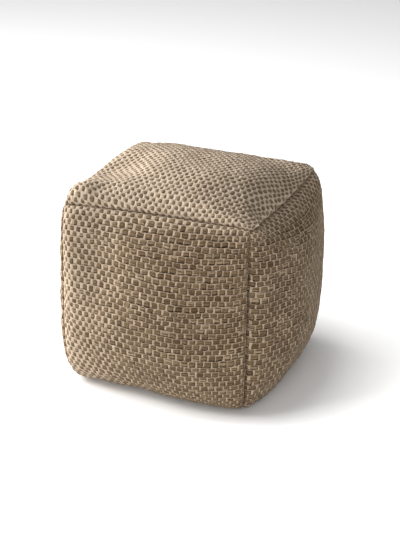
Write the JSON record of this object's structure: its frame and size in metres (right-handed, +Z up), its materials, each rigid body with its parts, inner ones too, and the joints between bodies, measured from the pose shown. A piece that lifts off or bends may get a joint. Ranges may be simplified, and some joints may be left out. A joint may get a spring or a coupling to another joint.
{
  "type": "cube pouf stool",
  "caption": "Soft cube pouf in a chunky flat-woven beige and brown cover, filled, with crowned panels drawn in at sewn seams.",
  "frame": {"origin": "on the floor, under the middle of the pouf's extent", "axes": "+Z up; the front panel faces -Y and the right panel faces +X"},
  "size_m": [0.444, 0.449, 0.4015],
  "materials": {
    "woven_cover": "chunky flat weave of matt beige and brown yarn"
  },
  "bodies": {
    "root": {"pouf_body": "woven_cover"}
  },
  "joints": []
}
